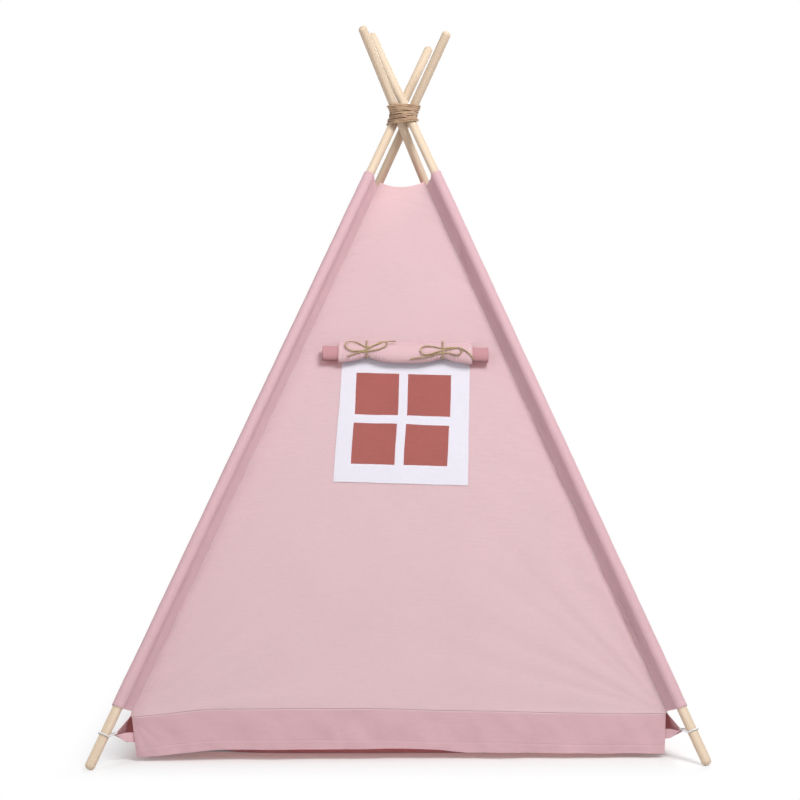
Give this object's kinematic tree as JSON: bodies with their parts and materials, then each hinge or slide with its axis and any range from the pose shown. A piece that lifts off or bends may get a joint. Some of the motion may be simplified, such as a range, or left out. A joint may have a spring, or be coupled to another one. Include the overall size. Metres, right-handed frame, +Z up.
{
  "type": "kids teepee",
  "caption": "Play tent of crossed round poles lashed at the top, with a sewn cotton cover, a framed window with a tied-up blind, a curtained door and a floor mat.",
  "frame": {"origin": "on the floor, straight below the middle of the lashing, at the underside of the mat", "axes": "+Z up, +X to the right of a viewer who faces the window, +Y from the window wall to the door"},
  "size_m": [1.2257, 1.2278, 1.5385],
  "materials": {
    "pine": "bare sanded wood",
    "pink_cotton": "plain weave cotton",
    "mat_cotton": "wadded plain weave cotton",
    "white_cotton": "plain weave cotton",
    "jute": "hairy laid twine",
    "elastic": "round covered elastic"
  },
  "bodies": {
    "mat": {"floor_mat": "mat_cotton", "elastic_window_left": "elastic", "elastic_window_right": "elastic", "elastic_door_right": "elastic", "elastic_door_left": "elastic"},
    "lashing": {"lashing": "jute"},
    "pole_window_left": {"pole_window_left": "pine", "sleeve_window_left": "pink_cotton"},
    "pole_window_right": {"pole_window_right": "pine", "sleeve_window_right": "pink_cotton"},
    "pole_door_right": {"pole_door_right": "pine", "sleeve_door_right": "pink_cotton"},
    "pole_door_left": {"pole_door_left": "pine", "sleeve_door_left": "pink_cotton"},
    "window_wall": {"window_wall": "pink_cotton", "window_band": "pink_cotton", "window_frame": "white_cotton", "blind_cover": "pink_cotton"},
    "right_wall": {"right_wall": "pink_cotton", "right_band": "pink_cotton"},
    "left_wall": {"left_wall": "pink_cotton", "left_band": "pink_cotton"},
    "door_top": {"door_top": "pink_cotton"},
    "curtain_right": {"curtain_right": "pink_cotton"},
    "curtain_left": {"curtain_left": "pink_cotton"},
    "blind": {"blind_roll": "pink_cotton", "blind_tie_left": "jute", "blind_tie_right": "jute", "blind_bow_left": "jute", "blind_bow_right": "jute"}
  },
  "joints": [
    {"name": "lash_rise", "type": "slide", "parent": "mat", "child": "lashing", "axis": [0, 0, 1], "range_m": [0, 0.265]},
    {"name": "frame_fold", "type": "hinge", "parent": "lashing", "child": "pole_window_left", "pos_m": [-0.0142, 0.014, 1.34], "axis": [0.7217, -0.6922, 0], "range_deg": [0, 28.5], "deforming": ["floor_mat", "elastic_window_left", "elastic_window_right", "elastic_door_right", "elastic_door_left", "lashing", "sleeve_window_left", "sleeve_window_right", "sleeve_door_right", "sleeve_door_left", "window_wall", "right_wall", "left_wall", "door_top", "curtain_right", "curtain_left", "window_band", "right_band", "left_band", "window_frame", "blind_roll", "blind_cover", "blind_tie_left", "blind_tie_right", "blind_bow_left", "blind_bow_right"]},
    {"name": "window_right_pole_fold", "type": "hinge", "parent": "lashing", "child": "pole_window_right", "pos_m": [0.0125, -0.0134, 1.34], "axis": [0.7087, 0.7055, 0], "range_deg": [0, 28.6]},
    {"name": "door_right_pole_fold", "type": "hinge", "parent": "lashing", "child": "pole_door_right", "pos_m": [-0.0123, -0.0157, 1.34], "axis": [-0.7252, 0.6885, 0], "range_deg": [0, 28.6]},
    {"name": "door_left_pole_fold", "type": "hinge", "parent": "lashing", "child": "pole_door_left", "pos_m": [0.0133, 0.0156, 1.34], "axis": [-0.6718, -0.7408, 0], "range_deg": [0, 28.6]},
    {"name": "window_wall_fold", "type": "hinge", "parent": "lashing", "child": "window_wall", "pos_m": [0, 0.03235, 1.34], "axis": [1, 0, 0], "range_deg": [0, 21.6]},
    {"name": "right_wall_fold", "type": "hinge", "parent": "lashing", "child": "right_wall", "pos_m": [-0.02464, 0, 1.34], "axis": [0, 1, 0], "range_deg": [0, 21]},
    {"name": "left_wall_fold", "type": "hinge", "parent": "lashing", "child": "left_wall", "pos_m": [0.03899, 0, 1.34], "axis": [0, -1, 0], "range_deg": [0, 21.7]},
    {"name": "door_top_fold", "type": "hinge", "parent": "lashing", "child": "door_top", "pos_m": [0, -0.0313, 1.34], "axis": [-1, 0, 0], "range_deg": [0, 21.1]},
    {"name": "curtain_right_open", "type": "hinge", "parent": "pole_door_right", "child": "curtain_right", "pos_m": [0.50058, 0.52454, 0.09], "axis": [0.3674, 0.387, -0.8457], "range_deg": [0, 110]},
    {"name": "curtain_left_open", "type": "hinge", "parent": "pole_door_left", "child": "curtain_left", "pos_m": [-0.54523, 0.52212, 0.09], "axis": [0.3986, -0.3615, 0.8429], "range_deg": [0, 110]},
    {"name": "blind_lower", "type": "slide", "parent": "window_wall", "child": "blind", "axis": [-0.0122, -0.4128, -0.9108], "range_m": [0, 0.27], "deforming": ["blind_cover"]}
  ],
  "couplings": [
    {"joint": "lash_rise", "follows": "frame_fold", "m_per_rad": 0.53},
    {"joint": "window_right_pole_fold", "follows": "frame_fold", "ratio": 1},
    {"joint": "door_right_pole_fold", "follows": "frame_fold", "ratio": 1},
    {"joint": "door_left_pole_fold", "follows": "frame_fold", "ratio": 1},
    {"joint": "window_wall_fold", "follows": "frame_fold", "ratio": 0.757},
    {"joint": "right_wall_fold", "follows": "frame_fold", "ratio": 0.735},
    {"joint": "left_wall_fold", "follows": "frame_fold", "ratio": 0.76},
    {"joint": "door_top_fold", "follows": "frame_fold", "ratio": 0.739}
  ]
}
